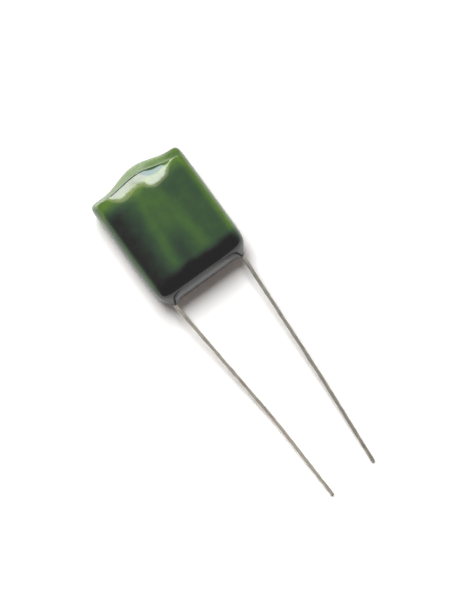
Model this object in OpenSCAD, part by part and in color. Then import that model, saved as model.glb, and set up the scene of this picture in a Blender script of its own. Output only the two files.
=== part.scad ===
// Dipped film capacitor with two radial wire leads.
// It lies on its flat back: X runs across the body, the leads point along minus Y, and Z is up.
// The origin is the middle of the flat back.

/* [Winding] */
// Length of the film roll between its two end sprays
film_w = 9.1; // [6:0.1:14]
// Height of the flattened roll, across its two rolled edges
winding_h = 12.9; // [10:0.1:20]
// Thickness of the flattened roll
winding_t = 5.2; // [3:0.1:7]
// Height of the slot that the winding mandrel leaves in the roll
slot_h = 6; // [3:0.5:8]
// Width of that slot after the roll is pressed flat
slot_t = 0.16; // [0.08:0.02:0.4]

/* [End sprays] */
// Thickness of the sprayed metal on each end of the roll
spray_t = 0.3; // [0.15:0.05:0.6]

/* [Leads] */
// Diameter of the tinned wire
lead_d = 0.5; // [0.4:0.05:0.8]
// Thickness of the wire's flattened end
paddle_t = 0.3; // [0.2:0.05:0.35]
// Width of the wire's flattened end
paddle_w = 0.8; // [0.6:0.05:1.2]
// Length of the flattened end that is welded to the end spray
weld_l = 9; // [5:0.5:10]
// Inner radius of the bend just outside the resin foot
exit_radius = 5; // [3:0.5:6]
// Inner radius of the slight bend further out
mid_radius = 40; // [20:5:60]
// How much thinner the wire is where it is bent
bend_neck = 0.01; // [0.005:0.005:0.02]

/* [Left lead] */
// Angle that the left lead turns through as it leaves the coat
left_exit_bend = 9.1; // [2:0.1:12]
// Angle that it turns back through further out
left_mid_bend = -5.6; // [-8:0.1:-1]
// Length of wire between its two bends
left_first_run = 15.5; // [6:0.1:20]
// Straight length from the second bend to the cut end
left_last_run = 9.3; // [6:0.1:16]
// Turn of its plane about the wire, from level towards the table
left_roll = 56; // [0:1:70]

/* [Right lead] */
// Angle that the right lead turns through as it leaves the coat
right_exit_bend = 5.8; // [2:0.1:12]
// Further angle that it turns through further out
right_mid_bend = 2.2; // [1:0.1:8]
// Length of wire between its two bends
right_first_run = 16.1; // [6:0.1:20]
// Straight length from the second bend to the cut end
right_last_run = 11; // [6:0.1:20]
// Turn of its plane about the wire, from level towards the table
right_roll = 60; // [0:1:70]

/* [Coat] */
// Resin over each flat face of the roll
coat_face = 0.6; // [0.4:0.05:1.2]
// Resin outside each lead
coat_side = 1.25; // [0.8:0.05:2]
// Resin over the rolled edges, at the peak end and at the lead end
coat_end = 1.25; // [0.8:0.05:2]
// Least resin left anywhere over the roll
coat_least = 0.15; // [0.1:0.05:0.3]
// Depth of the rounding at the back of both sides
back_round = 1.9; // [1:0.1:2.4]
// Depth of the rounding at the front of the left side
left_round = 1; // [0.6:0.1:3.5]
// Depth of the tight rounding at the front of the right side
right_round = 0.9; // [0.6:0.1:2.4]
// Depth of the rounding along the lead end, and along the back of the peak end
end_round = 2.4; // [1.5:0.1:3.6]
// Squareness of the corners
corner = 20; // [6:1:24]
// Length by which the two corners at the lead end are cut off
lead_cut = 1.25; // [0.5:0.05:2]

/* [Peak] */
// Height of the peak where the last drip ran together
peak_h = 1; // [0.3:0.1:2]
// Width of the peak at its base
peak_w = 10; // [5:0.5:11]
// Offset of the peak from the middle line
peak_x = 0.4; // [-1:0.1:1]
// Depth of the lip in front of the peak end, at the left side
left_lip = 0.55; // [0.3:0.05:1.5]
// Depth of the lip in front of the peak end, at the right side
right_lip = 1.5; // [0.3:0.05:1.8]

/* [Face] */
// Fall of the front face from its middle to each side
crown = 0.1; // [0:0.02:0.3]
// Depth by which the left shoulder of the peak end falls away
left_shoulder = 0.45; // [0:0.05:1.2]
// Depth by which the right shoulder of the peak end falls away
right_shoulder = 0.7; // [0:0.05:1.5]
// Middle of the left shoulder's fall
left_shoulder_x = -2.3; // [-4:0.1:-1]
// Middle of the right shoulder's fall
right_shoulder_x = 2.2; // [1:0.1:4]
// Half width of each shoulder's fall
shoulder_r = 2.2; // [1:0.1:3]
// Length over which the shoulders fall
shoulder_l = 3.5; // [2.5:0.1:4]

/* [Feet] */
// Height of the resin hump that each lead leaves through
foot_h = 0.35; // [0.2:0.05:1.2]
// Radius of that hump across the lead
foot_r = 0.75; // [0.5:0.05:1.2]

/* [Hidden] */
$fn = 48;

pitch = film_w + 2 * spray_t + paddle_t;
coat_w = pitch + lead_d + 2 * coat_side;
coat_h = winding_h + 2 * coat_end;
coat_t = winding_t + 2 * coat_face;
mid_z = coat_t / 2;
spray_x = film_w / 2 + spray_t;

// Each rounding is limited so that the coat still covers the roll's sharp ends
side_wall = coat_w / 2 - spray_x - coat_least;
side_limit = side_wall / (1 - sqrt(1 - pow(winding_t / coat_t, 2)));
back_r = min(back_round, side_limit);
left_r = min(left_round, side_limit);
right_r = min(right_round, side_limit);
end_r = min(end_round, winding_t / 2 + coat_end);

// Where the shoulders start to fall
shoulder_y = coat_h / 2 - shoulder_l;

// Resolution of the coat's skin: points round it, rings over its edge and rings over its front face
skin_sides = 96;
edge_rings = 20;
face_rings = 12;
// How far each step round the outline is drawn towards the corners
corner_pull = 8;
// How fast the peak dies out towards the middle of the body
peak_reach = 4.5;
// Share of the peak that the front face keeps
peak_stay = 0.7;
// How sharply the lip turns into the front face
lip_turn = 3.2;
// How fast the shoulders' fall steepens
shoulder_curve = 1.45;
// How fast the cut corners square up away from the middle of the thickness
cut_fade = 1.5;
// How closely each foot keeps to the middle of the thickness
foot_keep = 14;

// The wire is round from just below the roll, and its flattened end laps the round part
wire_gap = 0.1;
paddle_lap = 0.3;
wire_top = -winding_h / 2 - wire_gap;
// The wire starts to bend just past the hump that it leaves through
exit_y = -coat_h / 2 - foot_h;
// Length by which a bend reaches into the straight wire at each end
bend_lap = 0.15;

// Outline of the pressed roll: two half circles and the flats between them
module roll_outline() {
    flat = winding_h - winding_t;
    square([winding_t, flat], center = true);
    for (side = [-1, 1])
        translate([0, side * flat / 2])
            circle(d = winding_t);
}

// A length of the roll's outline along X, centred at the given x
module roll_length(x, len) {
    translate([x - len / 2, 0, mid_z])
        rotate([90, 0, 90])
            linear_extrude(len)
                rotate(90)
                    roll_outline();
}

module mandrel_slot() {
    flat = slot_h - slot_t;
    through = film_w + 2 * spray_t;
    translate([-through / 2, 0, mid_z])
        rotate([90, 0, 90])
            linear_extrude(through) {
                square([flat, slot_t], center = true);
                for (side = [-1, 1])
                    translate([side * flat / 2, 0])
                        circle(d = slot_t);
            }
}

// Straight wire along minus Y, with what follows it at its end
module run(len) {
    rotate([90, 0, 0]) cylinder(d = lead_d, h = len);
    translate([0, -len, 0]) children();
}

// Wire that turns towards plus X by a positive angle, with what follows it at its end
module bend(angle, radius) {
    side = sign(angle);
    mid_r = radius + lead_d / 2;
    lap = bend_lap / mid_r * 180 / PI;
    sweep = abs(angle) + 2 * lap;
    translate([side * mid_r, 0, 0]) {
        rotate([0, 0, side > 0 ? 180 - lap : angle - lap])
            rotate_extrude(angle = sweep)
                translate([mid_r, 0])
                    circle(d = lead_d - bend_neck);
        rotate([0, 0, angle])
            translate([-side * mid_r, 0, 0])
                children();
    }
}

// The wire's flattened end, lying against the end spray
module paddle() {
    low = wire_top - paddle_lap;
    high = -winding_h / 2 + weld_l - paddle_w / 2;
    rotate([0, -90, 0])
        translate([0, 0, -paddle_t / 2])
            linear_extrude(paddle_t) {
                translate([-paddle_w / 2, low]) square([paddle_w, high - low]);
                translate([0, high]) circle(d = paddle_w);
            }
}

// The part of a lead that the coat holds, drawn as the left one, with what follows it at its end
module lead_root(roll) {
    translate([-pitch / 2, 0, mid_z]) {
        paddle();
        translate([0, wire_top, 0])
            rotate([0, roll, 0])
                run(wire_top - exit_y)
                    children();
    }
}

// One lead, drawn as the left one
module lead(exit_bend, mid_bend, first_run, last_run, roll) {
    lead_root(roll)
        bend(exit_bend, exit_radius)
            run(first_run)
                bend(mid_bend, mid_radius)
                    run(last_run);
}

// Distance from the middle to the coat's outline at angle a, where the ring has the half sizes and corner cut given
function outline(a, half_w, half_h, cut) =
    let (
        across = abs(cos(a)),
        upward = abs(sin(a)),
        bevel = a > 180 ? (across + upward) / (half_w + half_h - cut) : 0
    )
    pow(pow(across / half_w, corner) + pow(upward / half_h, corner) + pow(bevel, corner), -1 / corner);

// Round hill of height 1 at t = 0 that ends level at t = -1 and t = 1
function hill(t) = abs(t) < 1 ? pow(cos(90 * t), 2) : 0;

// Bell of height 1 that falls off with distance over the radius r
function bell(d, r) = exp(-d * d / (r * r));

// Rise of the peak's outline at x
function peak(x) = peak_h * hill(2 * (x - peak_x) / peak_w);

// Depth of the lip in front of the peak end at x
function lip(x) = left_lip + (right_lip - left_lip) * (0.5 + x / coat_w) + (1 - peak_stay) * peak(x);

// Shift of the peak end's edge at x and angle lift, in front as a lip that turns in and at the back rounded
function end_shift(x, lift) =
    lift > 0 ? peak(x) - lip(x) * (1 - pow(cos(lift), lip_turn)) : peak(x) * cos(lift);

// Height of the resin hump round the nearer lead
function foot_hump(x) = foot_h * bell(abs(x) - pitch / 2, foot_r);

// Depth of the front face below its highest level
function relief(x, y) =
    crown * pow(2 * x / coat_w, 2)
    + pow(max(0, y - shoulder_y) / shoulder_l, shoulder_curve) * (
        left_shoulder * bell(x - left_shoulder_x, shoulder_r)
        + right_shoulder * bell(x - right_shoulder_x, shoulder_r)
    );

// Point of the skin at angle a round the outline and angle lift over the edge, drawn in by the factor inner
function skin_point(a, lift, inner) =
    let (
        out = cos(lift),
        front = lift > 0,
        half_h = coat_h / 2 - (front && a < 180 ? 0 : end_r * (1 - out)),
        left_w = coat_w / 2 - (front ? left_r : back_r) * (1 - out),
        right_w = coat_w / 2 - (front ? right_r : back_r) * (1 - out),
        half_w = cos(a) < 0 ? left_w : right_w,
        reach = inner * outline(a, half_w, half_h, lead_cut * (2 * pow(out, cut_fade) - 1)),
        x = reach * cos(a),
        y = reach * sin(a),
        shift = y > 0 ? end_shift(x, lift) * pow(y / half_h, peak_reach) : -foot_hump(x) * pow(out, foot_keep),
        depth = front ? relief(x, y) : 0
    )
    [x, y + shift, mid_z + (mid_z - depth) * sin(lift)];

// The coat's outer skin: rings over the rounded edge from the flat back up, then rings in over the front face
module skin() {
    edge = [for (i = [0:edge_rings]) [-90 + 180 * i / edge_rings, 1]];
    face = [for (i = [1:face_rings - 1]) [90, 1 - i / face_rings]];
    rings = concat(edge, face);
    n = skin_sides;
    last = len(rings) - 1;
    turns = [for (k = [0:n - 1]) 360 * k / n + corner_pull * sin(4 * 360 * k / n)];
    ring_points = [for (ring = rings) for (a = turns) skin_point((a + 360) % 360, ring[0], ring[1])];
    front_middle = len(ring_points);
    back_middle = front_middle + 1;
    middles = [skin_point(0, 90, 0), [0, 0, 0]];
    back = [for (k = [0:n - 1]) [back_middle, k, (k + 1) % n]];
    bands = [
        for (j = [0:last - 1]) for (k = [0:n - 1])
            let (a = j * n + k, b = j * n + (k + 1) % n)
            each [[a, a + n, b], [b, a + n, b + n]]
    ];
    front = [for (k = [0:n - 1]) [last * n + k, front_middle, last * n + (k + 1) % n]];
    polyhedron(concat(ring_points, middles), concat(back, bands, front), convexity = 6);
}

module epoxy_coat() {
    color("darkgreen")
    difference() {
        skin();
        roll_length(0, film_w + 2 * spray_t);
        lead_root(0);
        mirror([1, 0, 0]) lead_root(0);
    }
}

module film_winding() {
    color("gainsboro")
    difference() {
        roll_length(0, film_w);
        mandrel_slot();
    }
}

module left_end_spray() {
    color("slategray")
    roll_length(-(film_w + spray_t) / 2, spray_t);
}

module right_end_spray() {
    color("slategray")
    roll_length((film_w + spray_t) / 2, spray_t);
}

module left_lead() {
    color("silver")
    lead(left_exit_bend, left_mid_bend, left_first_run, left_last_run, left_roll);
}

module right_lead() {
    color("silver")
    mirror([1, 0, 0])
        lead(right_exit_bend, right_mid_bend, right_first_run, right_last_run, right_roll);
}

epoxy_coat();
film_winding();
left_end_spray();
right_end_spray();
left_lead();
right_lead();
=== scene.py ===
import math

import bpy
import numpy as np
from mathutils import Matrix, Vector


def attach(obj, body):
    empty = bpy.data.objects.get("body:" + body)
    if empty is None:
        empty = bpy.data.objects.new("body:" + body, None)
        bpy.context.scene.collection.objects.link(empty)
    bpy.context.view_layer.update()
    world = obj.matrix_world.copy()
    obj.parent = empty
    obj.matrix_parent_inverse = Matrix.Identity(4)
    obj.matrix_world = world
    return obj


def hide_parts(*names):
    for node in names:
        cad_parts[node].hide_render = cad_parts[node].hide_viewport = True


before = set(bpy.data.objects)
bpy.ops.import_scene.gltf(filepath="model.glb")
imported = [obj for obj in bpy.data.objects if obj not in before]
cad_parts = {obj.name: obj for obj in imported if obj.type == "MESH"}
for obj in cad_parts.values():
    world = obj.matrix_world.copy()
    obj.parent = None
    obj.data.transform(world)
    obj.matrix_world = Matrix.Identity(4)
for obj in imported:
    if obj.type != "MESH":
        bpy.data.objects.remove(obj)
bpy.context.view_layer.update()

bl_info = {
    "name": "Dipped film capacitor",
    "version": (1, 0, 0),
    "blender": (4, 5, 0),
    "location": "3D View > Sidebar > Capacitor",
    "description": "Dresses a resin-dipped film capacitor and its wire leads, and lights it on a white table",
    "category": "Object",
}

MM = 0.001


def linear(hex_colour):
    """Linear red, green and blue of an sRGB hex colour."""
    srgb = np.array([int(hex_colour[i:i + 2], 16) for i in (1, 3, 5)]) / 255
    return tuple(np.where(srgb <= 0.04045, srgb / 12.92, ((srgb + 0.055) / 1.055) ** 2.4).tolist())


def length(name, millimetres, description):
    """A property that holds a length, given here in millimetres and kept in metres."""
    return bpy.props.FloatProperty(
        name=name, description=description, default=millimetres * MM, unit="LENGTH", precision=5)


def angle(name, degrees, description):
    """A property that holds an angle, given here in degrees."""
    return bpy.props.FloatProperty(
        name=name, description=description, default=math.radians(degrees), subtype="ANGLE")


def number(name, value, description):
    """A property that holds a plain number."""
    return bpy.props.FloatProperty(name=name, description=description, default=value)


def colour(name, hex_colour, description):
    """A property that holds a colour, given here as an sRGB hex value."""
    return bpy.props.FloatVectorProperty(
        name=name, description=description, default=linear(hex_colour), subtype="COLOR", min=0, max=1)


class CoatSizes(bpy.types.PropertyGroup):
    """Sizes of the dipped resin coat."""

    width: length("Width", 13, "Body across the two leads")
    height: length("Height", 15.4, "Body from the lead end to the shoulders of the peak end")
    thickness: length("Thickness", 6.4, "Body from its flat back to its front")
    pitch: length("Pitch", 10, "Distance between the two leads")
    back_round: length("Back rounding", 1.9, "Depth of the rounding at the back of both sides")
    left_round: length("Left rounding", 1, "Depth of the rounding at the front of the left side")
    right_round: length("Right rounding", 0.9, "Depth of the tight rounding at the front of the right side")
    end_round: length("End rounding", 2.4, "Rounding of the lead end and of the back of the peak end")
    corner: number("Corners", 20, "Squareness of the corners")
    lead_cut: length("Lead corner cut", 1.25, "Length by which the two corners at the lead end are cut off")
    cut_fade: number("Cut fade", 1.5, "How fast the cut corners square up towards the front and the back")
    peak_height: length("Peak height", 1, "Height of the peak where the last drip ran together")
    peak_width: length("Peak width", 10, "Width of the peak at its base")
    peak_x: length("Peak offset", 0.4, "Offset of the peak from the middle line")
    peak_reach: number("Peak reach", 4.5, "How fast the peak dies out towards the middle of the body")
    peak_stay: number("Peak stay", 0.7, "Share of the peak that the front face keeps")
    left_lip: length("Left lip", 0.55, "Depth of the lip in front of the peak end, at the left side")
    right_lip: length("Right lip", 1.5, "Depth of the lip in front of the peak end, at the right side")
    lip_turn: number("Lip turn", 3.2, "How sharply the lip turns into the front face")
    crown: length("Crown", 0.1, "Fall of the front face from its middle to each side")
    left_shoulder: length("Left shoulder", 0.45, "Depth of the left shoulder's fall at the peak end")
    right_shoulder: length("Right shoulder", 0.7, "Depth of the right shoulder's fall at the peak end")
    left_shoulder_x: length("Left shoulder place", -2.3, "Middle of the left shoulder's fall")
    right_shoulder_x: length("Right shoulder place", 2.2, "Middle of the right shoulder's fall")
    shoulder_radius: length("Shoulder radius", 2.2, "Half width of each shoulder's fall")
    shoulder_length: length("Shoulder length", 3.5, "Length over which the shoulders fall")
    shoulder_curve: number("Shoulder curve", 1.45, "How fast the shoulders' fall steepens")
    foot_height: length("Foot height", 0.35, "Height of the resin hump that each lead leaves through")
    foot_radius: length("Foot radius", 0.75, "Radius of that hump across the lead")
    foot_keep: number("Foot keep", 14, "How closely each foot keeps to the middle of the thickness")
    collar_height: length("Collar height", 0.22, "Height of the thin resin collar that climbs each wire")
    collar_reach: length("Collar reach", 0.13, "Distance from the wire over which the collar dies out")
    ridge_height: length("Ridge height", 0.035, "Height of the two drain ridges on the front")
    ridge_width: length("Ridge width", 0.9, "Half width of the two drain ridges")
    ripple: length("Ripple", 0.005, "Unit of height of the slow ripple that dipping leaves")


class LeadSizes(bpy.types.PropertyGroup):
    """Sizes of one wire lead, in the order in which the wire leaves the roll."""

    side: number("Side", -1, "Minus one for the left lead and one for the right lead")
    exit_bend: angle("Exit bend", 9.1, "Angle that the lead turns through as it leaves the coat")
    mid_bend: angle("Second bend", -5.6, "Angle that it turns through further out")
    first_run: length("First run", 15.5, "Length of wire between its two bends")
    last_run: length("Last run", 9.3, "Straight length from the second bend to the cut end")
    roll: angle("Roll", 56, "Turn of its plane about the wire, from level towards the table")
    darkening: number("Tarnish", 0, "Share by which the lead's tin has darkened")


class WireSizes(bpy.types.PropertyGroup):
    """Sizes that both leads share."""

    diameter: length("Diameter", 0.5, "Diameter of the tinned wire")
    paddle_thickness: length("Paddle thickness", 0.3, "Thickness of the wire's flattened end")
    paddle_width: length("Paddle width", 0.8, "Width of the wire's flattened end")
    paddle_top: length("Paddle top", 2.55, "Where the flattened end stops, above the middle of the body")
    wire_top: length("Wire top", -6.55, "Where the wire becomes round, just below the roll")
    exit_radius: length("Exit radius", 5.25, "Middle radius of the bend just outside the resin foot")
    mid_radius: length("Second radius", 40.25, "Middle radius of the slight bend further out")
    tinning: length("Tinning", 0.004, "Unevenness of the tin on the wire")


class Finishes(bpy.types.PropertyGroup):
    """Colours of the surfaces."""

    # Lip colour: thin resin, and a painted reflection of the white table
    resin_lip_and_reflection: colour("Lip resin", "#879b79", "Resin of the thin lip, which light shines through")
    # Thin resin, and painted light: lighter at the peak end, which faces the light, and at the edges
    resin_thin_and_lit: colour("Thin resin", "#5d7f28", "Resin that drained thin along the peak end and the edges")
    resin_ridge: colour("Ridge resin", "#466730", "Resin over the drain ridges")
    resin_face: colour("Face resin", "#344e31", "Resin over the flat of the roll")
    # The next three colours are thicker resin and also painted shade: darker towards the left side and the
    # lead end, which face away from the light
    resin_side_and_shade: colour("Side resin", "#2a3a2c", "Resin towards the left side")
    resin_thick_and_shade: colour("Thick resin", "#1b1c19", "Resin where it gathered along the left side")
    resin_deep_and_shade: colour("Deep resin", "#0c0c0d", "Resin where it is deepest, along the lead end")
    tin_bright: colour("Bright tin", "#dfd9cf", "Tin that has kept its colour")
    tin_dull: colour("Dull tin", "#aea59a", "Tin that has gone dull in air")
    film_light: colour("Film", "#d9dad6", "Metallised film on the flat of the roll")
    film_dark: colour("Film edge", "#8d9094", "Gaps between the turns of film")
    spray_light: colour("Spray", "#a9adb0", "Sprayed metal on the ends of the roll")
    spray_dark: colour("Spray pits", "#5c6063", "Pits between the sprayed drops")
    table: colour("Table", "#f2f2f1", "White table that the part lies on")
    glow_tint: colour("Glow tint", "#ffe1d2", "Light that the room throws into shadows on the table")


class StageSizes(bpy.types.PropertyGroup):
    """Camera, lamps and table."""

    azimuth: angle("Azimuth", -36, "Camera's turn round the part")
    elevation: angle("Elevation", 85, "Camera's height above the table, as an angle")
    distance: length("Distance", 400, "Camera's distance from the part")
    lens: number("Lens", 195.6, "Focal length in millimetres for a 36 mm picture height")
    aim: bpy.props.FloatVectorProperty(
        name="Aim", description="Point in the middle of the picture", size=3,
        default=(0.8 * MM, -12.13 * MM, 2.2 * MM), unit="LENGTH", precision=5)
    key_level: number("Key level", 1.02, "Light from the key lamp on a level surface, where 1 is white")
    key_azimuth: angle("Key azimuth", 7, "Key lamp's turn from the peak end towards the right side")
    key_elevation: angle("Key elevation", 64.5, "Key lamp's height above the table, as an angle")
    key_width: angle("Key width", 26, "Width of the key lamp as seen from the part")
    key_height: angle("Key height", 31, "Height of the key lamp as seen from the part")
    window_radiance: number("Window radiance", 14, "Brightness of the mirrored window, where 1 is white")
    window_azimuth: angle("Window azimuth", 14, "Window's turn from the peak end towards the right side")
    window_low: angle("Window sill", 40, "Height of the window's lower edge, as an angle")
    window_bar: angle("Window bar", 51.5, "Height of the bar between the window's two sashes, as an angle")
    window_high: angle("Window top", 62, "Height of the window's upper edge, as an angle")
    window_width: angle("Window width", 34, "Width of the window as seen from the part")
    lower_share: number("Lower share", 0.82, "Brightness of the lower sash as a share of the upper one's")
    lower_tint: colour("Lower tint", "#e2eeff", "Colour of the sky's light in the lower sash")
    upper_tint: colour("Upper tint", "#fcfcf4", "Colour of the light from the upper sash")
    blind_high: angle("Blind top", 66.5, "Height of the upper edge of the blind above the window")
    blind_share: number("Blind share", 0.23, "Brightness of the blind as a share of the window's")
    blind_tint: colour("Blind tint", "#fff8be", "Colour of the light through the blind")
    room: number("Room", 0.42, "Brightness of the room that glossy surfaces mirror")
    ambient: number("Ambient", 0.1, "Light from all round on matt surfaces")
    table_glow: number("Table glow", 0.06, "Share of the table's white that shadows don't take away")
    picture_gain: number("Picture gain", 1.2, "How far above white the lit table stands in the picture")
    # Painted shadow, painted light, a painted pool of light and painted shade on the table, as glossy
    # surfaces mirror it
    painted_shadow_gain: number("Near gain", 0.87, "Brightness of the table as mirrored beside the part")
    painted_light_gain: number("Clear gain", 1.6, "Brightness of the table as mirrored past the lead end")
    painted_pool_gain: number("Pool gain", 2.1, "Brightness of the window's light on the table past the peak end")
    painted_shade_gain: number("Shade gain", 0.3, "Brightness of the shade beside that light")


def add(tree, kind, inputs=None, **settings):
    """Adds a node with its settings, and sets each named or numbered input or links it to a socket."""
    node = tree.nodes.new(kind)
    for name, value in settings.items():
        setattr(node, name, value)
    for key, value in (inputs or {}).items():
        if isinstance(value, bpy.types.NodeSocket):
            tree.links.new(value, node.inputs[key])
        else:
            node.inputs[key].default_value = value
    return node


def new_material(name):
    """A material with an empty node tree and its output node, as (material, tree, output)."""
    material = bpy.data.materials.new(name)
    material.use_nodes = True
    material.node_tree.nodes.clear()
    return material, material.node_tree, add(material.node_tree, "ShaderNodeOutputMaterial")


def set_ramp(ramp, stops):
    """Sets a colour ramp's stops from pairs of place and colour."""
    elements = ramp.color_ramp.elements
    while len(elements) < len(stops):
        elements.new(1)
    for element, (place, rgb) in zip(elements, stops):
        element.position = place
        element.color = (*rgb, 1)


def grid_object(name, points, material, attributes=None, uv=None):
    """A mesh object from a closed tube of points[ring, step, xyz]. The steps of a ring close on
    themselves, and the first and last rings close on one pole each, at their middle. attributes holds one
    value for each point, and uv one pair for each point."""
    rings, steps = points.shape[:2]
    ring, step = np.meshgrid(np.arange(rings - 1), np.arange(steps), indexing="ij")
    after = (step + 1) % steps
    low, high = ring * steps, (ring + 1) * steps
    quads = np.stack([low + step, low + after, high + after, high + step], -1)
    first_pole, last_pole = rings * steps, rings * steps + 1
    around = np.arange(steps)
    onward = (around + 1) % steps
    top = (rings - 1) * steps
    first_fan = np.stack([np.full(steps, first_pole), onward, around], -1)
    last_fan = np.stack([np.full(steps, last_pole), top + around, top + onward], -1)
    vertices = np.concatenate([points.reshape(-1, 3), points[:1].mean(1), points[-1:].mean(1)])
    faces = quads.reshape(-1, 4).tolist() + first_fan.tolist() + last_fan.tolist()
    mesh = bpy.data.meshes.new(name)
    mesh.from_pydata(vertices.tolist(), [], faces)
    mesh.polygons.foreach_set("use_smooth", np.ones(len(mesh.polygons), bool))
    for key, values in (attributes or {}).items():
        layer = mesh.attributes.new(key, "FLOAT", "POINT")
        poles = [values[0].mean(), values[-1].mean()]
        layer.data.foreach_set("value", np.concatenate([values.ravel(), poles]).astype(np.float32))
    if uv is not None:
        corner = np.empty(len(mesh.loops), np.int32)
        mesh.loops.foreach_get("vertex_index", corner)
        pairs = np.concatenate([uv.reshape(-1, 2), uv[:1].mean(1), uv[-1:].mean(1)])
        layer = mesh.uv_layers.new(name="UVMap")
        layer.data.foreach_set("uv", pairs[corner].astype(np.float32).ravel())
    mesh.materials.append(material)
    mesh.update()
    piece = bpy.data.objects.new(name, mesh)
    bpy.context.scene.collection.objects.link(piece)
    return piece


def smooth(low, high, value):
    """Rises from 0 at low to 1 at high, level at both ends: 3t squared less 2t cubed."""
    t = np.clip((value - low) / (high - low), 0, 1)
    return t * t * (3 - 2 * t)


def bell(away, radius):
    """Height 1 in the middle, falling as e to minus the squared distance over the squared radius."""
    return np.exp(-(away ** 2) / radius ** 2)


def outward(points):
    """Unit normals of points[ring, step, xyz]: the cross product of the step along the ring and the step
    across it, over its length."""
    along = np.roll(points, -1, 1) - np.roll(points, 1, 1)
    across = np.gradient(points, axis=0)
    normal = np.cross(along, across)
    never_zero = 1e-12
    return normal / np.maximum(np.linalg.norm(normal, axis=-1, keepdims=True), never_zero)


def peak_end_sizes(coat, x):
    """Rise of the peak at x, a squared cosine over its width, and depth of the lip there, which grows
    evenly from the left side to the right and holds the share of the peak that the face doesn't keep."""
    place = np.clip(2 * (x - coat.peak_x) / coat.peak_width, -1, 1)
    peak = coat.peak_height * np.cos(math.pi / 2 * place) ** 2
    slope = coat.right_lip - coat.left_lip
    lip = coat.left_lip + slope * (0.5 + x / coat.width) + (1 - coat.peak_stay) * peak
    return peak, lip


def coat_rings(coat, turns, lift, inner):
    """The coat's main form. A ring at the angle lift over the rounded edge is a superellipse whose half
    sizes shrink by the rounding times one less the cosine of lift. Its height is the half thickness times
    one plus the sine of lift. The corners at the lead end are cut off by a third wall at 45 degrees,
    which fades towards the front and the back. The peak stretches the ring at the peak end. In the front
    half of the thickness the ring draws in there as a lip, by one less a power of the cosine of lift. A
    bell at each lead draws the ring out into a foot. The front face sinks by its crown, as the square of
    x, and at its two shoulders, as a bell across x times a power of the distance in y. inner draws the
    ring in over the front face."""
    a, lift, inner = turns[None, :], lift[:, None], inner[:, None]
    out, up = np.clip(np.cos(lift), 0, 1), np.sin(lift)
    front, peak_end = up > 0, np.sin(a) > 0
    mid = coat.thickness / 2
    half_height = coat.height / 2 - np.where(front & peak_end, 0, coat.end_round * (1 - out))
    left = coat.width / 2 - np.where(front, coat.left_round, coat.back_round) * (1 - out)
    right = coat.width / 2 - np.where(front, coat.right_round, coat.back_round) * (1 - out)
    half_width = np.where(np.cos(a) < 0, left, right)
    across, upward = np.abs(np.cos(a)), np.abs(np.sin(a))
    kept_cut = coat.lead_cut * (2 * out ** coat.cut_fade - 1)
    bevel = np.where(peak_end, 0, (across + upward) / (half_width + half_height - kept_cut))
    sides, ends = across / half_width, upward / half_height
    reach = inner * (sides ** coat.corner + ends ** coat.corner + bevel ** coat.corner) ** (-1 / coat.corner)
    x, y = reach * np.cos(a), reach * np.sin(a)
    peak, lip = peak_end_sizes(coat, x)
    end_shift = np.where(front, peak - lip * (1 - out ** coat.lip_turn), peak * out)
    peak_share = np.clip(y / half_height, 0, 1) ** coat.peak_reach
    foot = coat.foot_height * bell(np.abs(x) - coat.pitch / 2, coat.foot_radius)
    shift = np.where(y > 0, end_shift * peak_share, -foot * out ** coat.foot_keep)
    start = coat.height / 2 - coat.shoulder_length
    fall = np.clip((y - start) / coat.shoulder_length, 0, 1) ** coat.shoulder_curve
    sink = coat.crown * (2 * x / coat.width) ** 2 + fall * (
        coat.left_shoulder * bell(x - coat.left_shoulder_x, coat.shoulder_radius)
        + coat.right_shoulder * bell(x - coat.right_shoulder_x, coat.shoulder_radius))
    return np.stack([x, y + shift, mid + (mid - np.where(front, sink, 0)) * up], -1)


# Drain ridges, in millimetres: where their lines start and how far they run in y, and between which y
# they fade at the foot. Each line has x at its start, how far x moves over the run, and between which y
# it fades at the top
RIDGE_START, RIDGE_RUN = 4.55, 9.1
RIDGE_FOOT = (-6, -3.5)
RIDGE_LINES = ((-1.06, -1.34, 5.7, 7.2), (0.9, 1.4, 4.2, 6))


def drain_ridges(coat, x, y):
    """Two low ridges on the front that part from the peak towards the lead end. Each is a bell across a
    straight line, and fades at both of its ends. The left one runs on to the lip."""
    x, y = x / MM, y / MM
    share = (RIDGE_START - y) / RIDGE_RUN
    left, right = (
        bell(x - start - drift * share, coat.ridge_width / MM) * (1 - smooth(full, gone, y))
        for start, drift, full, gone in RIDGE_LINES)
    return smooth(*RIDGE_FOOT, y) * np.maximum(left, right)


# Waves of the ripple: radians per millimetre along x, y and z, phase, and height in units of ripple
RIPPLE_WAVES = np.array([
    [0.9, 0.3, 0.5, 0.4, 1.0],
    [-0.4, 0.8, 0.6, 1.9, 0.8],
    [1.5, -0.7, 0.2, 3.1, 0.5],
    [0.5, 1.6, -0.9, 5.2, 0.4],
    [-1.8, 1.1, 1.3, 0.8, 0.3],
    [-0.68, 0.7, 0, -2.63, 1.9],
    [0.68, 0.7, 0, 0.51, 1.9],
])


def dip_ripple(points):
    """Slow ripple of dipped resin: a sum of sine waves, each with its own length and direction."""
    direction, phase, height = RIPPLE_WAVES[:, :3], RIPPLE_WAVES[:, 3], RIPPLE_WAVES[:, 4]
    return (np.sin(points @ (direction / MM).T + phase) * height).sum(-1)


def collar(coat, wire_radius, points):
    """Climb of the resin along each wire, in the quarter of the body at the lead end: highest at the
    wire, dying out exponentially with distance from it."""
    away = np.hypot(np.abs(points[..., 0]) - coat.pitch / 2, points[..., 2] - coat.thickness / 2)
    climb = coat.collar_height * np.exp(-np.maximum(away - wire_radius, 0) / coat.collar_reach)
    return np.where(points[..., 1] < -coat.height / 4, climb, 0)


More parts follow.
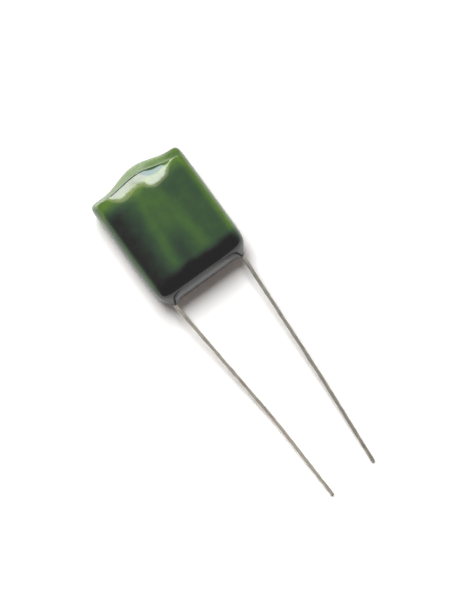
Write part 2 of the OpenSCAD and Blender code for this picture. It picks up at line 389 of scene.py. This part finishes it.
# Points of the coat: steps round a ring, rings over the rounded edge, and steps from there to the middle
# of the front. The steps round a ring crowd towards the four corners, by up to the angle given here
RING_STEPS, EDGE_RINGS, FACE_STEPS = 600, 119, 44
CORNER_CROWDING = math.radians(8)
# Sine of lift between which the ridges come up, and shares of the thickness between which the ripple does
RIDGE_LIFT = (0.3, 0.9)
RIPPLE_RISE = (0.02, 0.3)


def coat_surface(coat, wire_radius):
    """The finished coat as points[ring, step, xyz], and the share of a drain ridge at each point. The
    rings climb from the back over the rounded edge, and draw in to the middle of the front. The main form
    swells along its normals by the ridges on its front and by the ripple off its flat back, and climbs
    the wires as a collar."""
    turn = np.linspace(0, 2 * math.pi, RING_STEPS, endpoint=False)
    turn = turn + CORNER_CROWDING * np.sin(4 * turn)
    edge = np.linspace(-math.pi / 2, math.pi / 2, EDGE_RINGS)
    lift = np.concatenate([edge, np.full(FACE_STEPS - 1, math.pi / 2)])
    inner = np.concatenate([np.ones(EDGE_RINGS), 1 - np.arange(1, FACE_STEPS) / FACE_STEPS])
    points = coat_rings(coat, turn, lift, inner)
    on_front = smooth(*RIDGE_LIFT, np.sin(lift))[:, None]
    ridges = drain_ridges(coat, points[..., 0], points[..., 1]) * on_front
    off_back = smooth(*RIPPLE_RISE, points[..., 2] / coat.thickness)
    swell = coat.ridge_height * ridges + coat.ripple * dip_ripple(points) * off_back
    points = points + outward(points) * swell[..., None]
    points[..., 1] -= collar(coat, wire_radius, points)
    return points, ridges


# Shares of the thickness above which a point is less and less on a wall, and then on the front alone
WALL_FADE = (0.55, 0.95)
# Waves of the tones on the walls: height in millimetres, and radians per millimetre along x and z
WALL_WAVES = ((0.5, 0.5, 1.3), (0.3, 0.7, -2.1))
# Zones of the resin along x, y or past the line of the lip, in millimetres from the middle of the body or
# from that line: where each starts, where it is complete, how far these two places move on the walls, and
# its strength. Besides thicker and thinner resin, they carry painted shade along the left side and the lead
# end, and painted light at the peak end, the edges and the lip
RESIN_ZONES = {
    "left_side": (-1.4, -5.4, 0, 0, 1),
    "left_side_end": (4, 6.3, -2.5, 1, 0.9),
    "lead_end": (-4.4, -5.7, 1.9, -1.3, 1),
    "middle_start": (-2.5, 1.5, 0, 0, 1),
    "middle_end": (4, 5.5, 0, 0, 1),
    "wedge_start": (-0.5, -2.5, 0, 0, 1),
    "lip_foot_start": (5.9, 6.6, 0, 0, 0.8),
    "lip_foot_side": (3, 4.4, 0, 0, 1),
    "lip_foot_end": (0, 0.3, 0, 0, 1),
    "peak_end": (4.4, 6.6, -2, 1, 1),
    "right_edge": (5, 6.1, 0, 0, 1.2),
    "left_edge": (-5.45, -6.1, 0, 0, 1.7),
    "lip": (-0.1, 0.6, 0, 0, 1),
    "right_lip": (2.8, 4.8, 0, 0, 0.8),
}
# Bells of the resin across x: place and half width in millimetres, and strength
# The bell on the lip is a painted reflection of the table's light, palest near x = 2 mm
RESIN_BELLS = {"middle": (0, 1.7, 1), "wedge": (-0.7, 1, 1), "lip_reflection": (2, 1.4, 0.55)}
# Shares by which the left side holds back the peak end, the walls hold back the edges, and the lip thins
# and is painted paler, as a painted reflection of the table
LEFT_HOLD, WALL_HOLD, LIP_PALER = 0.3, 0.5, 0.3
# Depth over the flat of the roll, least depth outside the lip, and what each zone adds
FACE_DEPTH, LEAST_DEPTH = 0.53, 0.2
# The zones' values carry painted shade and painted light as well as thickness
ZONE_DEPTHS = {
    "gathered_and_shaded": 0.36, "lead_end": 0.11, "drained": -0.14, "wedge": 0.16, "peak_end": -0.36, "edges": -0.3}


def resin_depth_and_painted_light(coat, points, ridges):
    """How dark the resin looks, 0 thin to 1 thick, from how thick it lies over the roll and from painted
    shade and painted light. It lies thick along the left side, the lead end, a wedge in the middle of the
    lead end and the foot of the lip, and drained thin from the ridges, the middle, the peak end and the
    edges. The left side and the lead end are also painted darker as shade, the peak end and the edges painted
    lighter as lit, and the lip painted pale as a reflection of the table. Each zone is a smooth step or a
    bell times its strength. On the walls and the back the tones run together more slowly, along wavy lines."""
    x, y, z = (points[..., axis] / MM for axis in range(3))
    wall = 1 - smooth(*WALL_FADE, points[..., 2] / coat.thickness)
    run = y + wall * sum(height * np.sin(by_x * x + by_z * z) for height, by_x, by_z in WALL_WAVES)
    peak, lip = peak_end_sizes(coat, points[..., 0])
    past_line = (points[..., 1] - coat.height / 2 - peak + lip) / MM

    def zone(name, value):
        start, full, start_move, full_move, strength = RESIN_ZONES[name]
        return strength * smooth(start + start_move * wall, full + full_move * wall, value)

    def hump(name):
        place, half_width, strength = RESIN_BELLS[name]
        return strength * bell(x - place, half_width)

    # Painted shade over thicker resin: darker along the left side and the lead end
    left = zone("left_side", x) * (1 - zone("left_side_end", run))
    lead_end = zone("lead_end", run)
    middle = hump("middle") * zone("middle_start", y) * (1 - zone("middle_end", y))
    lip_foot = zone("lip_foot_start", y) * (1 - zone("lip_foot_side", np.abs(x)))
    lip_foot = lip_foot * (1 - zone("lip_foot_end", past_line))
    shares = {
        "gathered_and_shaded": 1 - (1 - left) * (1 - lead_end),
        "lead_end": lead_end,
        "drained": np.maximum(ridges, middle),
        "wedge": hump("wedge") * zone("wedge_start", y),
        # Thin resin at the peak end and the edges, also painted lighter as lit
        "peak_end": zone("peak_end", run) * (1 - LEFT_HOLD * left) * (1 - lip_foot),
        "edges": (zone("right_edge", x) + zone("left_edge", x)) * (1 - WALL_HOLD * wall),
    }
    depth_and_painted_light = FACE_DEPTH + sum(ZONE_DEPTHS[name] * share for name, share in shares.items())
    # The lip is painted paler: thin resin, and a painted reflection of the table, less of it towards the
    # right end
    lip_paler = LIP_PALER + (1 - wall) * (hump("lip_reflection") - zone("right_lip", x))
    return np.clip(depth_and_painted_light, LEAST_DEPTH, 1) * (1 - lip_paler * zone("lip", past_line))


# Points along each stretch of a lead: root, first bend, first run, second bend, last run and cut end
LEAD_POINTS = (120, 16, 130, 20, 120, 16)
# Steps round a lead
LEAD_STEPS = 32
# Share by which the cutter nipped a lead's end, and how far up the wire that reaches
NIP, NIP_REACH = 0.16, 0.22 * MM
# Where the flattening starts and where it is complete, from the top of the round wire
FLAT_START, FLAT_FULL = -0.1 * MM, 0.4 * MM
# Slow and fast waves of the tin in radians per millimetre of wire, and the fast one's height as a share
SLOW_TIN, FAST_TIN, FAST_SHARE = 2.1, 5.3, 0.6


def lead_path(wire, lead, exit_y, mid_z, pitch):
    """Middle line of one lead from its flattened end to its cut end: straight down the roll's end and out
    of the coat, a bend, a straight run, a slight bend, and a straight run. It lies in a plane that is
    rolled about the wire's root. Returned as points and distances along it."""
    def turn(bend, radius, heading, start, count):
        """An arc in the plane: its radius times the change of the heading's cosine and sine."""
        swept = np.linspace(0, bend, count)[1:]
        side = np.sign(bend) * radius
        inward = start[0] + side * (np.cos(heading) - np.cos(heading + swept))
        down = start[1] + side * (np.sin(heading + swept) - np.sin(heading))
        return np.stack([inward, down], -1)

    def go(run, heading, start, count):
        """A straight run in the plane, along the heading."""
        far = np.linspace(0, run, count)[1:, None]
        return np.array(start) + far * np.array([np.sin(heading), np.cos(heading)])

    root_count, exit_count, first_count, mid_count, last_count, cut_count = LEAD_POINTS
    root = np.linspace(-wire.paddle_top, -exit_y, root_count)
    cut = wire.diameter / 2
    last_heading = lead.exit_bend + lead.mid_bend
    flat = [np.stack([0 * root, root], -1)]
    flat.append(turn(lead.exit_bend, wire.exit_radius, 0, flat[-1][-1], exit_count))
    flat.append(go(lead.first_run, lead.exit_bend, flat[-1][-1], first_count))
    flat.append(turn(lead.mid_bend, wire.mid_radius, lead.exit_bend, flat[-1][-1], mid_count))
    flat.append(go(lead.last_run - cut, last_heading, flat[-1][-1], last_count))
    flat.append(go(cut, last_heading, flat[-1][-1], cut_count))
    inward, down = np.concatenate(flat).T
    x = lead.side * (pitch / 2 - inward * np.cos(lead.roll))
    points = np.stack([x, -down, mid_z - inward * np.sin(lead.roll)], -1)
    step = np.linalg.norm(np.diff(points, axis=0), axis=1)
    return points, np.concatenate([[0], np.cumsum(step)])


def lead_tube(wire, path, far):
    """A profile carried along the lead's path, and its map. It is a circle whose radius varies with two
    waves of tin, goes over to the flattened end's ellipse above wire_top, and is nipped slightly at the
    cut end."""
    tangent = np.gradient(path, axis=0)
    tangent /= np.linalg.norm(tangent, axis=1, keepdims=True)
    level = np.array([1.0, 0, 0]) - tangent[:, :1] * tangent
    level /= np.linalg.norm(level, axis=1, keepdims=True)
    upright = np.cross(level, tangent)
    phi = np.linspace(0, 2 * math.pi, LEAD_STEPS, endpoint=False)[None, :]
    to_cut = (far[-1] - far)[:, None]
    nip = 1 - NIP * np.clip(1 - to_cut / NIP_REACH, 0, 1) ** 2
    flatness = smooth(wire.wire_top + FLAT_START, wire.wire_top + FLAT_FULL, path[:, 1])[:, None]
    along = far[:, None] / MM
    slow = np.sin(SLOW_TIN * along + np.cos(phi))
    fast = np.sin(FAST_TIN * along + 2 * np.sin(phi))
    tin = wire.tinning * (slow + FAST_SHARE * fast) * (1 - flatness)
    round_wire = (wire.diameter / 2 + tin) * (1 - flatness)
    wide = round_wire * nip + wire.paddle_thickness / 2 * flatness
    tall = round_wire + wire.paddle_width / 2 * flatness
    tube = (
        path[:, None, :]
        + (wide * np.cos(phi))[..., None] * level[:, None, :]
        + (tall * np.sin(phi))[..., None] * upright[:, None, :])
    uv = np.stack(np.broadcast_arrays(np.abs(phi / math.pi - 1), along), -1)
    return tube, uv


# Depth, with painted shade and painted light, at which the resin has each of its colours
RESIN_STOPS = {
    "resin_lip_and_reflection": 0, "resin_thin_and_lit": 0.14, "resin_ridge": 0.33, "resin_face": 0.52, "resin_side_and_shade": 0.71,
    "resin_thick_and_shade": 0.88, "resin_deep_and_shade": 0.97}


def dipped_epoxy(finishes):
    """Dip-coated epoxy resin, cured glossy: a deep green that darkens where the resin is thicker and where
    shade is painted, and pales where light and a reflection are painted, a mirror-like surface with a faint
    orange peel, and a few pinholes and specks of dust under the gloss."""
    material, tree, output = new_material("dipped_epoxy")
    place = add(tree, "ShaderNodeTexCoord").outputs["Object"]
    depth_and_painted_light = add(tree, "ShaderNodeAttribute", attribute_name="resin_depth_and_painted_light")
    # Clouds of pigment about 1.4 mm across, which move the depth by up to 0.11 either way
    cloud_depth = 0.11
    clouds = add(tree, "ShaderNodeTexNoise", {
        "Vector": place, "Scale": 1 / (1.4 * MM), "Detail": 3, "Roughness": 0.55})
    drift = add(tree, "ShaderNodeMath", {
        0: clouds.outputs["Fac"], 1: 2 * cloud_depth, 2: -cloud_depth}, operation="MULTIPLY_ADD")
    shade = add(tree, "ShaderNodeMath", {0: depth_and_painted_light.outputs["Fac"], 1: drift.outputs[0]}, operation="ADD")
    ramp = add(tree, "ShaderNodeValToRGB", {"Fac": shade.outputs[0]})
    set_ramp(ramp, [(stop, getattr(finishes, name)) for name, stop in RESIN_STOPS.items()])
    # Faint specks of dust and filler in one of seven cells of 0.9 mm, 0.09 mm across and gone at 0.2 mm
    bare_cells, speck_strength, pit_depth = 0.86, 0.12, 0.5
    cells = add(tree, "ShaderNodeTexVoronoi", {"Vector": place, "Scale": 1 / (0.9 * MM), "Randomness": 1})
    chosen = add(tree, "ShaderNodeSeparateColor", {"Color": cells.outputs["Color"]})
    few = add(tree, "ShaderNodeMath", {0: chosen.outputs[0], 1: bare_cells}, operation="GREATER_THAN")
    near = add(tree, "ShaderNodeMapRange", {
        "Value": cells.outputs["Distance"], "From Min": 0.05, "From Max": 0.11, "To Min": 1, "To Max": 0})
    speck = add(tree, "ShaderNodeMath", {0: few.outputs[0], 1: near.outputs[0]}, operation="MULTIPLY")
    speck_share = add(tree, "ShaderNodeMath", {0: speck.outputs[0], 1: speck_strength}, operation="MULTIPLY")
    speckled = add(tree, "ShaderNodeMix", {
        "Factor": speck_share.outputs[0], "A": ramp.outputs["Color"], "B": (*finishes.resin_thin_and_lit, 1)},
        data_type="RGBA")
    # Orange peel of about 0.7 mm, with a pinhole at each speck. The gloss varies with the clouds
    peel = add(tree, "ShaderNodeTexNoise", {
        "Vector": place, "Scale": 1 / (0.7 * MM), "Detail": 1, "Roughness": 0.4})
    pits = add(tree, "ShaderNodeMath", {
        0: speck.outputs[0], 1: -pit_depth, 2: peel.outputs["Fac"]}, operation="MULTIPLY_ADD")
    bump = add(tree, "ShaderNodeBump", {"Height": pits.outputs[0], "Strength": 0.5, "Distance": 0.012 * MM})
    gloss = add(tree, "ShaderNodeMapRange", {
        "Value": clouds.outputs["Fac"], "From Min": 0.3, "From Max": 0.7, "To Min": 0.055, "To Max": 0.12})
    shader = add(tree, "ShaderNodeBsdfPrincipled", {
        "Base Color": speckled.outputs["Result"], "Roughness": gloss.outputs[0], "IOR": 1.53,
        "Normal": bump.outputs["Normal"]})
    tree.links.new(shader.outputs[0], output.inputs["Surface"])
    return material


def tinned_wire(finishes, name, darkening):
    """Hot-tinned copper wire gone dull in air: soft grey metal with drawing marks along it and duller
    patches. Real drawing marks are too fine for the render, so they are drawn about 0.1 mm apart."""
    material, tree, output = new_material(name + "_tinned_copper_wire")
    uv = add(tree, "ShaderNodeUVMap", uv_map="UVMap")
    coords = add(tree, "ShaderNodeTexCoord")
    # Once round the wire is 1.6 mm and 2 in the map's first value, so 8 there is a mark each 0.1 mm. The
    # second value is in millimetres along the wire, so 0.5 there makes each mark about 2 mm long
    stretched = add(tree, "ShaderNodeMapping", {"Vector": uv.outputs["UV"], "Scale": (8, 0.5, 1)})
    marks = add(tree, "ShaderNodeTexNoise", {"Vector": stretched.outputs[0], "Scale": 1, "Detail": 2})
    # Duller patches of about 0.8 mm
    patches = add(tree, "ShaderNodeTexNoise", {
        "Vector": coords.outputs["Object"], "Scale": 1 / (0.8 * MM), "Detail": 4, "Roughness": 0.6})
    mottle = add(tree, "ShaderNodeMath", {
        0: marks.outputs["Fac"], 1: patches.outputs["Fac"]}, operation="MULTIPLY")
    ramp = add(tree, "ShaderNodeValToRGB", {"Fac": mottle.outputs[0]})
    dull_tin, bright_tin = (
        [(1 - darkening) * share for share in tin] for tin in (finishes.tin_dull, finishes.tin_bright))
    set_ramp(ramp, [(0.14, dull_tin), (0.36, bright_tin)])
    dullness = add(tree, "ShaderNodeMapRange", {
        "Value": patches.outputs["Fac"], "From Min": 0.3, "From Max": 0.7, "To Min": 0.5, "To Max": 0.32})
    bump = add(tree, "ShaderNodeBump", {"Height": mottle.outputs[0], "Strength": 0.6, "Distance": 0.02 * MM})
    shader = add(tree, "ShaderNodeBsdfPrincipled", {
        "Base Color": ramp.outputs["Color"], "Metallic": 1, "Roughness": dullness.outputs[0],
        "Normal": bump.outputs["Normal"]})
    tree.links.new(shader.outputs[0], output.inputs["Surface"])
    return material


def metallised_film(finishes):
    """Metallised polyester film, wound and pressed flat: satin silver with the edges of its turns as fine
    lines. Real turns are microns thick, so the lines are drawn 0.12 mm apart to show."""
    material, tree, output = new_material("metallised_polyester_film")
    coords = add(tree, "ShaderNodeTexCoord")
    # The wave node has a band each 2 pi / 20 of its scaled coordinate
    band = 2 * math.pi / 20
    turns = add(tree, "ShaderNodeTexWave", {
        "Vector": coords.outputs["Object"], "Scale": band / (0.12 * MM), "Distortion": 1.5, "Detail": 2},
        wave_type="BANDS", bands_direction="Z")
    ramp = add(tree, "ShaderNodeValToRGB", {"Fac": turns.outputs["Fac"]})
    set_ramp(ramp, [(0.1, finishes.film_dark), (0.6, finishes.film_light)])
    shader = add(tree, "ShaderNodeBsdfPrincipled", {
        "Base Color": ramp.outputs["Color"], "Metallic": 0.9, "Roughness": 0.3})
    tree.links.new(shader.outputs[0], output.inputs["Surface"])
    return material


def sprayed_zinc(finishes):
    """Flame-sprayed zinc: matt grey, grainy from drops of about 0.15 mm that froze where they hit."""
    material, tree, output = new_material("flame_sprayed_zinc")
    coords = add(tree, "ShaderNodeTexCoord")
    drops = add(tree, "ShaderNodeTexVoronoi", {"Vector": coords.outputs["Object"], "Scale": 1 / (0.15 * MM)})
    ramp = add(tree, "ShaderNodeValToRGB", {"Fac": drops.outputs["Distance"]})
    set_ramp(ramp, [(0.1, finishes.spray_light), (0.8, finishes.spray_dark)])
    bump = add(tree, "ShaderNodeBump", {
        "Height": drops.outputs["Distance"], "Strength": 0.7, "Distance": 0.03 * MM}, invert=True)
    shader = add(tree, "ShaderNodeBsdfPrincipled", {
        "Base Color": ramp.outputs["Color"], "Metallic": 0.8, "Roughness": 0.6,
        "Normal": bump.outputs["Normal"]})
    tree.links.new(shader.outputs[0], output.inputs["Surface"])
    return material


# Zones of the table past the lead end, past the peak end, and left of the part's right side, which glossy
# surfaces see with painted light and shade: axis, and where each starts and is complete, in millimetres
TABLE_ZONES = (("Y", -9.5, -12.5), ("Y", 9, 13), ("X", 6.2, 4.8))


def white_table(finishes, stage):
    """Matt white table. The camera sees it lit beyond white, as on a light table, and a little warm light
    even in its shadows. Glossy surfaces mirror it with painted light and shade: darker beside the part as a
    painted shadow, brighter past the lead end as painted light, brighter past the peak end as a painted pool
    of the window's light, and dark beside that pool as painted shade."""
    material, tree, output = new_material("matt_white_table")
    path = add(tree, "ShaderNodeLightPath")
    coords = add(tree, "ShaderNodeTexCoord")
    place = add(tree, "ShaderNodeSeparateXYZ", {"Vector": coords.outputs["Object"]})
    clear, past_peak, left = (
        add(tree, "ShaderNodeMapRange", {
            "Value": place.outputs[axis], "From Min": start * MM, "From Max": full * MM}).outputs[0]
        for axis, start, full in TABLE_ZONES)
    pool = add(tree, "ShaderNodeMath", {0: past_peak, 1: left}, operation="MULTIPLY").outputs[0]
    shade = add(tree, "ShaderNodeMath", {0: past_peak, 1: pool}, operation="SUBTRACT").outputs[0]
    tone = (*finishes.table, 1)
    # Glossy rays see the table with a painted shadow, painted light, a painted pool of light and painted
    # shade
    for ray, share, gain in (
            ("Is Camera Ray", None, stage.picture_gain), ("Is Glossy Ray", None, stage.painted_shadow_gain),
            ("Is Glossy Ray", clear, stage.painted_light_gain), ("Is Glossy Ray", shade, stage.painted_shade_gain),
            ("Is Glossy Ray", pool, stage.painted_pool_gain)):
        factor = path.outputs[ray]
        if share is not None:
            factor = add(tree, "ShaderNodeMath", {0: factor, 1: share}, operation="MULTIPLY").outputs[0]
        lit = (*(gain * white for white in finishes.table), 1)
        mixed = add(tree, "ShaderNodeMix", {"Factor": factor, "A": tone, "B": lit}, data_type="RGBA")
        tone = mixed.outputs["Result"]
    matt = add(tree, "ShaderNodeBsdfDiffuse", {"Color": tone})
    glow = add(tree, "ShaderNodeMath", {
        0: path.outputs["Is Camera Ray"], 1: stage.table_glow}, operation="MULTIPLY")
    shine = add(tree, "ShaderNodeEmission", {"Color": (*finishes.glow_tint, 1), "Strength": glow.outputs[0]})
    both = add(tree, "ShaderNodeAddShader", {0: matt.outputs[0], 1: shine.outputs[0]})
    tree.links.new(both.outputs[0], output.inputs["Surface"])
    return material


class CAPACITOR_OT_coat(bpy.types.Operator):
    """Makes the dipped resin coat as one fine surface"""

    bl_idname = "capacitor.coat"
    bl_label = "Resin coat"

    def execute(self, context):
        scene = context.scene
        coat = scene.capacitor_coat
        points, ridges = coat_surface(coat, scene.capacitor_wire.diameter / 2)
        piece = grid_object(
            "resin_coat", points, dipped_epoxy(scene.capacitor_finishes),
            attributes={"resin_depth_and_painted_light": resin_depth_and_painted_light(coat, points, ridges)})
        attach(piece, "root")
        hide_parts("epoxy_coat")
        return {"FINISHED"}


class CAPACITOR_OT_leads(bpy.types.Operator):
    """Makes the two tinned wire leads"""

    bl_idname = "capacitor.leads"
    bl_label = "Wire leads"

    def execute(self, context):
        scene = context.scene
        coat, wire = scene.capacitor_coat, scene.capacitor_wire
        exit_y = -coat.height / 2 - coat.foot_height
        for lead, name in ((scene.capacitor_left_lead, "left"), (scene.capacitor_right_lead, "right")):
            path, far = lead_path(wire, lead, exit_y, coat.thickness / 2, coat.pitch)
            tube, uv = lead_tube(wire, path, far)
            tin = tinned_wire(scene.capacitor_finishes, name, lead.darkening)
            piece = grid_object(name + "_wire", tube, tin, uv=uv)
            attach(piece, "root")
            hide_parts(name + "_lead")
        return {"FINISHED"}


class CAPACITOR_OT_core(bpy.types.Operator):
    """Gives the film roll and its two end sprays, inside the coat, their materials"""

    bl_idname = "capacitor.core"
    bl_label = "Film roll and end sprays"

    def execute(self, context):
        finishes = context.scene.capacitor_finishes
        film, zinc = metallised_film(finishes), sprayed_zinc(finishes)
        for node, material in (("film_winding", film), ("left_end_spray", zinc), ("right_end_spray", zinc)):
            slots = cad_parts[node].data.materials
            slots.clear()
            slots.append(material)
        return {"FINISHED"}


# Half width of the table, and distance of the lamps from the part, in metres
TABLE_REACH = 6.0
LAMP_DISTANCE = 2.0
# Height of the picture that the lens is given for, in millimetres
PICTURE_HEIGHT = 36


def direction(azimuth, elevation):
    """Unit vector at an azimuth from plus Y towards plus X, and at an elevation above the table."""
    level = math.cos(elevation)
    return Vector((math.sin(azimuth) * level, math.cos(azimuth) * level, math.sin(elevation)))


def lamp_size(seen):
    """Size of a lamp that takes up an angle as seen from the part: twice the distance times the tangent
    of half the angle."""
    return 2 * LAMP_DISTANCE * math.tan(seen / 2)


def lamp(name, azimuth, elevation, width, height, radiance):
    """A rectangular lamp that faces the part. A flat lamp of area A and radiance L gives the power pi
    times A times L."""
    data = bpy.data.lights.new(name, "AREA")
    data.shape = "RECTANGLE"
    data.size, data.size_y = width, height
    data.energy = math.pi * width * height * radiance
    lamp_object = bpy.data.objects.new(name, data)
    towards = direction(azimuth, elevation)
    lamp_object.location = towards * LAMP_DISTANCE
    lamp_object.rotation_euler = (-towards).to_track_quat("-Z", "Y").to_euler()
    bpy.context.scene.collection.objects.link(lamp_object)
    return lamp_object


def lay_table(scene, stage):
    """The square white table, level with the part's back."""
    table = bpy.data.meshes.new("table")
    corners = [(x * TABLE_REACH, y * TABLE_REACH, 0) for x, y in ((-1, -1), (1, -1), (1, 1), (-1, 1))]
    table.from_pydata(corners, [], [(0, 1, 2, 3)])
    table.materials.append(white_table(scene.capacitor_finishes, stage))
    floor = bpy.data.objects.new("table", table)
    scene.collection.objects.link(floor)


def hang_lamps(stage):
    """The key lamp, which lights matt surfaces, and the window's panes, which glossy surfaces mirror. The
    key's radiance is pi times its level, over its solid angle times the sine of its elevation."""
    wide, tall = lamp_size(stage.key_width), lamp_size(stage.key_height)
    radiance = math.pi * stage.key_level * LAMP_DISTANCE ** 2 / (wide * tall * math.sin(stage.key_elevation))
    key = lamp("key", stage.key_azimuth, stage.key_elevation, wide, tall, radiance)
    key.visible_glossy = False
    for name, low, high, share, tint in (
            ("lower_sash", stage.window_low, stage.window_bar, stage.lower_share, stage.lower_tint),
            ("upper_sash", stage.window_bar, stage.window_high, 1, stage.upper_tint),
            ("blind", stage.window_high, stage.blind_high, stage.blind_share, stage.blind_tint)):
        pane = lamp(
            name, stage.window_azimuth, (low + high) / 2, lamp_size(stage.window_width),
            lamp_size(high - low), stage.window_radiance * share)
        pane.data.color = tint
        pane.visible_diffuse = False


def set_room(scene, stage):
    """The room: white to the camera, grey in glossy surfaces, and a weak light on matt ones."""
    world = bpy.data.worlds.new("room")
    scene.world = world
    world.use_nodes = True
    tree = world.node_tree
    tree.nodes.clear()
    path = add(tree, "ShaderNodeLightPath")
    mirrored = add(tree, "ShaderNodeMath", {
        0: path.outputs["Is Glossy Ray"], 1: stage.room - stage.ambient, 2: stage.ambient},
        operation="MULTIPLY_ADD")
    seen = add(tree, "ShaderNodeMath", {
        0: mirrored.outputs[0], 1: path.outputs["Is Camera Ray"]}, operation="MAXIMUM")
    sky = add(tree, "ShaderNodeBackground", {"Color": (1, 1, 1, 1), "Strength": seen.outputs[0]})
    output = add(tree, "ShaderNodeOutputWorld")
    tree.links.new(sky.outputs[0], output.inputs["Surface"])


def set_camera(scene, stage):
    """The camera, turned round the part from minus Y."""
    data = bpy.data.cameras.new("camera")
    data.lens, data.sensor_width = stage.lens, PICTURE_HEIGHT
    data.clip_start, data.clip_end = 0.01, 20
    camera = bpy.data.objects.new("camera", data)
    back = direction(stage.azimuth, stage.elevation)
    back.y = -back.y
    camera.location = Vector(stage.aim) + back * stage.distance
    camera.rotation_euler = (-back).to_track_quat("-Z", "Y").to_euler()
    scene.collection.objects.link(camera)
    scene.camera = camera


class CAPACITOR_OT_stage(bpy.types.Operator):
    """Sets the white table, the lamps, the room and the camera"""

    bl_idname = "capacitor.stage"
    bl_label = "Table, lamps and camera"

    def execute(self, context):
        scene, stage = context.scene, context.scene.capacitor_stage
        scene.view_settings.view_transform = "Standard"
        lay_table(scene, stage)
        hang_lamps(stage)
        set_room(scene, stage)
        set_camera(scene, stage)
        return {"FINISHED"}


OPERATORS = (CAPACITOR_OT_coat, CAPACITOR_OT_leads, CAPACITOR_OT_core, CAPACITOR_OT_stage)
GROUPS = {
    "capacitor_coat": CoatSizes,
    "capacitor_wire": WireSizes,
    "capacitor_left_lead": LeadSizes,
    "capacitor_right_lead": LeadSizes,
    "capacitor_finishes": Finishes,
    "capacitor_stage": StageSizes,
}
# Where the right lead differs from the defaults, which are the left lead's
RIGHT_LEAD = {
    "side": 1,
    "exit_bend": math.radians(5.8),
    "mid_bend": math.radians(2.2),
    "first_run": 16.1 * MM,
    "last_run": 11 * MM,
    "roll": math.radians(60),
    # The right lead's tin is drawn darker than the left's
    "darkening": 0.2,
}


class CAPACITOR_PT_panel(bpy.types.Panel):
    """Lists the steps that dress the capacitor, and the sizes and colours that they use"""

    bl_label = "Dipped film capacitor"
    bl_idname = "CAPACITOR_PT_panel"
    bl_space_type = "VIEW_3D"
    bl_region_type = "UI"
    bl_category = "Capacitor"

    def draw(self, context):
        for operator in OPERATORS:
            self.layout.operator(operator.bl_idname)
        for name, group in GROUPS.items():
            box = self.layout.box()
            box.label(text=name.removeprefix("capacitor_").replace("_", " ").capitalize())
            for size in group.__annotations__:
                box.prop(getattr(context.scene, name), size)


CLASSES = (CoatSizes, WireSizes, LeadSizes, Finishes, StageSizes, *OPERATORS, CAPACITOR_PT_panel)


def register():
    """Registers the classes and gives the scene its groups of sizes."""
    for item in CLASSES:
        bpy.utils.register_class(item)
    for name, group in GROUPS.items():
        setattr(bpy.types.Scene, name, bpy.props.PointerProperty(type=group))


def unregister():
    """Takes back what register did."""
    for name in GROUPS:
        delattr(bpy.types.Scene, name)
    for item in reversed(CLASSES):
        bpy.utils.unregister_class(item)


def main():
    """Makes the pieces and the stage in order."""
    register()
    for name, value in RIGHT_LEAD.items():
        setattr(bpy.context.scene.capacitor_right_lead, name, value)
    bpy.ops.capacitor.coat()
    bpy.ops.capacitor.leads()
    bpy.ops.capacitor.core()
    bpy.ops.capacitor.stage()


if __name__ == "__main__":
    main()
